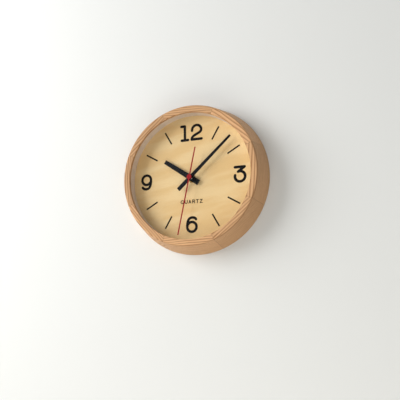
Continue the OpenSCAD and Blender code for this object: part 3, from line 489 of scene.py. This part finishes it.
def node_materials(axis):
    """Material for each CAD node but the staves, by node name."""
    shell = plastic("moulded_shell", SHELL, 0.52, 0.45, 0.02)
    acetal = plastic("acetal", ACETAL, 0.42, 0.30, 0.006)
    zinc = metal("zinc_plate", ZINC, 0.38, fine_mm=0.6)
    brass = metal("turned_brass", BRASS, 0.30, (0.3, 3.0, 0.3))
    steel = metal("ground_steel", STEEL, 0.28, (1.0, 0.1, 1.0))
    iron = metal("annealed_iron", IRON, 0.42, (0.1, 1.0, 1.0))
    ink = plastic("black_print", INK, 0.62, 0.25, 0.006, **{"Specular IOR Level": 0.1})
    black = plastic("black_lacquer", BLACK, 0.50, 0.5, 0.004, **{"Specular IOR Level": 0.12})
    red = plastic("red_lacquer", RED, 0.40, 0.5, 0.003, **{"Specular IOR Level": 0.2})
    bobbin = plastic("nylon_bobbin", NYLON, 0.45)
    groups = {
        clear_glass(): ["front_glass"],
        plastic("liner_white", LINER_SHADED, 0.58, 0.6, 0.012): ["liner_ring"],
        dial_veneer(axis): ["dial"],
        ink: ["hour_marks", "numerals", "dial_word"],
        pressed_board("raw_fibreboard", *RAW_BOARD, 0): ["spacer_ring"],
        pressed_board("hardboard", *HARDBOARD, 1.3): ["back_board"],
        zinc: ["back_screws", "hanger_plate", "hanger_screws", "contact_positive",
               "contact_negative", "quartz_crystal"],
        black: ["hour_hand", "minute_hand"],
        red: ["second_hand"],
        brass: ["second_hand_tube", "mounting_bush", "dial_washer", "hex_nut", "coil_terminals"],
        plastic("rubber", RUBBER, 0.8, 0.5, 0.02): ["rubber_gasket"],
        shell: ["movement_housing", "movement_cover", "setting_knob"],
        acetal: ["train_plate", "second_wheel", "third_wheel", "centre_wheel", "intermediate_wheel",
                 "rotor_pinion", "minute_pipe", "minute_wheel", "hour_wheel", "setting_shaft"],
        steel: ["second_arbor", "clutch_spring"],
        metal("sintered_magnet", MAGNET, 0.5): ["rotor_magnet"],
        iron: ["stator", "coil_core"],
        bobbin: ["coil_bobbin"],
        wound_copper(): ["coil_winding"],
        circuit_laminate(): ["circuit_board"],
        plastic("epoxy_chip", EPOXY, 0.3): ["clock_chip"],
    }
    return {name: material for material, names in groups.items() for name in names}


# Where each stave was sawn from its log: pith beside the board (through, out; mm), lean of the grain,
# a colour scale that carries painted light and shade (left staves darker, bottom and upper-right ones lighter),
# and how much painted shade lies on its rounded edge.
STAVE_CUTS = [
    ((-150.0, -30.0), 0.045, 0.99, 0.10),
    ((-190.0, -20.0), -0.060, 1.14, 0.10),
    ((-210.0, -10.0), 0.030, 1.04, 0.45),
    ((-180.0, -30.0), 0.055, 0.99, 0.40),
    ((-160.0, -50.0), -0.040, 1.07, 0.15),
    ((140.0, -70.0), 0.050, 1.02, 0.10),
    ((150.0, -50.0), -0.045, 0.87, 0.10),
    ((-170.0, -20.0), 0.050, 0.88, 0.10),
]


def wear(part, material):
    """Puts one material on a piece, in place of what it came with."""
    part.data.materials.clear()
    part.data.materials.append(material)
    for face in part.data.polygons:
        face.material_index = 0


def dress_nodes(frame, axis):
    """Gives every CAD node its material."""
    for k, (pith, lean, tone_and_light, edge_shade) in enumerate(STAVE_CUTS):
        angle = k * math.tau / STAVES
        ash = stave_wood(f"ash_{k + 1}", axis, angle, pith, lean, 17.0 * k, tone_and_light, edge_shade)
        wear(frame["nodes"][f"case_stave_{k + 1}"], ash)
    for name, material in node_materials(axis).items():
        wear(frame["nodes"][name], material)


HAND_EDGE_MM = 0.12


def soften(part, width_mm):
    """Rounds a CAD node's sharp edges a little, with modifiers only."""
    part.modifiers.new("weld", "WELD").merge_threshold = 1e-6
    edge = part.modifiers.new("bevel", "BEVEL")
    edge.width, edge.segments, edge.limit_method = width_mm * MM, 2, "ANGLE"
    edge.angle_limit = math.radians(35)
    part.modifiers.new("normals", "WEIGHTED_NORMAL").keep_sharp = True


# ---------------------------------------------------------------- the cell


def turned(name, profile, axis, start, material, steps=64):
    """A turned piece: profile is (distance along the axis from start, radius), in metres."""
    mesh = bpy.data.meshes.new(name)
    bm = bmesh.new()
    along = Vector(axis).normalized()
    side = along.orthogonal().normalized()
    other = along.cross(side)
    rings = []
    for far, radius in profile:
        centre = Vector(start) + along * far
        if radius < 1e-7:
            rings.append([bm.verts.new(centre)])
            continue
        rings.append(
            [
                bm.verts.new(centre + radius * (math.cos(t) * side + math.sin(t) * other))
                for t in (math.tau * k / steps for k in range(steps))
            ]
        )
    for a, b in zip(rings, rings[1:]):
        for k in range(steps):
            corners = [a[k % len(a)], a[(k + 1) % len(a)], b[(k + 1) % len(b)], b[k % len(b)]]
            bm.faces.new(list(dict.fromkeys(corners)))
    bmesh.ops.recalc_face_normals(bm, faces=bm.faces)
    bm.to_mesh(mesh)
    bm.free()
    for face in mesh.polygons:
        face.use_smooth = True
    made = bpy.data.objects.new(name, mesh)
    bpy.context.scene.collection.objects.link(made)
    mesh.materials.append(material)
    return made


def build_cell(tin):
    """The cell: a shrunk sleeve over a can, with a domed cap at one end and a dished base at the other."""
    low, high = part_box("battery")
    centre = (low + high) / 2
    radius = (high.z - low.z) / 2
    length = high.x - low.x
    nub, nub_r = 1.4 * MM, 2.7 * MM
    body = length - nub
    lip = 0.5 * MM
    sleeve = [
        (0.25 * MM, radius - 1.6 * MM), (0.05 * MM, radius - 1.2 * MM), (0.0, radius - lip),
        (0.15 * MM, radius - 0.15 * MM), (0.5 * MM, radius), (body - 0.5 * MM, radius),
        (body - 0.15 * MM, radius - 0.15 * MM), (body, radius - lip),
        (body - 0.05 * MM, radius - 1.2 * MM), (body - 0.25 * MM, radius - 1.6 * MM),
    ]
    base = [(0.7 * MM, 0.0), (0.6 * MM, 2.0 * MM), (0.3 * MM, 3.4 * MM), (0.25 * MM, radius - 1.2 * MM)]
    cap = [
        (body - 0.25 * MM, radius - 1.2 * MM), (body - 0.3 * MM, nub_r + 1.2 * MM),
        (body, nub_r + 0.5 * MM), (body + 0.1 * MM, nub_r + 0.1 * MM), (length - 0.4 * MM, nub_r),
        (length - 0.1 * MM, nub_r - 0.2 * MM), (length, nub_r - 0.6 * MM), (length, 0.0),
    ]
    start = (low.x, centre.y, centre.z)
    printed = cell_sleeve((low, high))
    pieces = [
        turned("cell_sleeve", sleeve, (1, 0, 0), start, printed),
        turned("cell_base", base, (1, 0, 0), start, tin),
        turned("cell_cap", cap, (1, 0, 0), start, tin),
    ]
    for piece in pieces:
        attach(piece, "cell")
    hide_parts("battery")


# ---------------------------------------------------------------- wall, floor, lights, camera

WALL_HALF = 2.2
WALL_Y = 0.1 * MM
WALL_OVERLAP = 0.4 * MM
FLOOR_DROP = 1.25


def painted_wall():
    """White emulsion with a faint roller texture. It can't be seen from behind, so the back of the clock can."""
    made, tree = shader_tree("wall_paint")
    place = mapped(tree)
    stipple = noise(tree, place, 0.35, 3.0)
    paint = node(
        tree,
        "BsdfPrincipled",
        {
            "Base Color": (0.80, 0.812, 0.802, 1),
            "Roughness": spread(tree, stipple, 0.75, 0.9),
            "Normal": bump(tree, stipple, 0.05),
            "Specular IOR Level": 0.2,
        },
    )
    behind = node(tree, "NewGeometry").outputs["Backfacing"]
    clear = node(tree, "BsdfTransparent")
    both = node(tree, "MixShader", {0: behind, 1: paint.outputs[0], 2: clear.outputs[0]})
    node(tree, "OutputMaterial", {"Surface": both.outputs[0]})
    return made


def build_wall(centre, opening):
    """A wall just behind the case's rear edge, open behind the clock, where nothing can see it from the front."""
    mesh = bpy.data.meshes.new("wall")
    bm = bmesh.new()
    steps = 96
    inner, outer = [], []
    for k in range(steps):
        c, s = math.cos(math.tau * k / steps), math.sin(math.tau * k / steps)
        reach = WALL_HALF / max(abs(c), abs(s))
        inner.append(bm.verts.new((centre.x + opening * c, WALL_Y, centre.z + opening * s)))
        outer.append(bm.verts.new((centre.x + reach * c, WALL_Y, centre.z + reach * s)))
    for k in range(steps):
        n = (k + 1) % steps
        bm.faces.new((inner[k], outer[k], outer[n], inner[n]))
    bm.to_mesh(mesh)
    bm.free()
    made = bpy.data.objects.new("wall", mesh)
    bpy.context.scene.collection.objects.link(made)
    mesh.materials.append(painted_wall())
    if mesh.polygons[0].normal.y > 0:
        mesh.flip_normals()


def build_floor(centre):
    """A plain pale floor under the wall."""
    bpy.ops.mesh.primitive_grid_add(
        x_subdivisions=4, y_subdivisions=4, size=2 * WALL_HALF,
        location=(centre.x, 0, centre.z - FLOOR_DROP),
    )
    floor = bpy.context.object
    floor.name = "floor"
    floor.data.materials.append(plastic("floor_paint", (0.62, 0.62, 0.60), 0.7, 2.0, 0.05))


def add_light(name, place, target, size, watts, colour):
    """A square soft light that isn't seen itself."""
    data = bpy.data.lights.new(name, "AREA")
    data.shape, data.size, data.energy, data.color = "SQUARE", size, watts, colour
    made = bpy.data.objects.new(name, data)
    made.location = place
    made.rotation_mode = "QUATERNION"
    made.rotation_quaternion = (Vector(target) - Vector(place)).to_track_quat("-Z", "Y")
    made.visible_camera = False
    bpy.context.scene.collection.objects.link(made)


# name, place from the dial's front (m), side (m), power (W), colour
LIGHTS = [
    ("window", (-1.45, -0.98, 0.48), 1.25, 34.0, (1.0, 0.993, 0.985)),
    ("floor_bounce", (0.10, -0.8, -1.15), 1.2, 9.5, (1.0, 0.93, 0.83)),
    ("back_left", (-0.7, 1.1, 0.5), 0.8, 9.0, (1.0, 0.99, 0.97)),
    ("back_right", (0.6, 1.1, 0.5), 0.8, 9.0, (1.0, 0.99, 0.97)),
]
ROOM_COLOUR = (0.99, 1.0, 0.99, 1)
ROOM_STRENGTH = 0.385


def build_lights(centre):
    """A big soft window light from the left and a little above, light off the floor, two lamps for the back."""
    for name, offset, size, watts, colour in LIGHTS:
        add_light(name, centre + Vector(offset), centre, size, watts, colour)
    world = bpy.data.worlds.new("room")
    bpy.context.scene.world = world
    world.use_nodes = True
    background = world.node_tree.nodes["Background"]
    background.inputs[0].default_value = ROOM_COLOUR
    background.inputs[1].default_value = ROOM_STRENGTH
    bpy.context.scene.view_settings.view_transform = "Standard"


CAMERA_OFFSET = (0.24079, -0.68710, -0.17970)
CAMERA_TURN = (19.34, 2.61, -0.22)
LENS_MM, SENSOR_MM = 39.9, 36.0
LENS_SHIFT = (0.0205, 0.1666)


def build_camera(centre):
    """The photograph's camera: right of and below the clock, with the crop's off-centre axis as a lens shift."""
    data = bpy.data.cameras.new("camera")
    data.lens, data.sensor_width = LENS_MM, SENSOR_MM
    data.shift_x, data.shift_y = LENS_SHIFT
    data.clip_start, data.clip_end = 0.01, 20.0
    made = bpy.data.objects.new("camera", data)
    yaw, pitch, roll = (math.radians(turn) for turn in CAMERA_TURN)
    made.rotation_mode = "XYZ"
    made.matrix_world = (
        Matrix.Translation(centre + Vector(CAMERA_OFFSET))
        @ Matrix.Rotation(yaw, 4, "Z")
        @ Matrix.Rotation(math.pi / 2 + pitch, 4, "X")
        @ Matrix.Rotation(roll, 4, "Z")
    )
    bpy.context.scene.collection.objects.link(made)
    bpy.context.scene.camera = made


# ---------------------------------------------------------------- the scene


def main():
    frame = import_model()
    cad_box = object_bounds()
    dial_low, dial_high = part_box("dial")
    centre = (dial_low + dial_high) / 2
    front = Vector((centre.x, dial_low.y, centre.z))
    dress_nodes(frame, tuple(centre))
    for name in ("hour_hand", "minute_hand", "second_hand"):
        soften(frame["nodes"][name], HAND_EDGE_MM)
    build_cell(frame["nodes"]["hanger_plate"].data.materials[0])
    build_wall(centre, (cad_box[1].x - cad_box[0].x) / 2 - WALL_OVERLAP)
    build_floor(centre)
    build_lights(front)
    build_camera(front)


main()
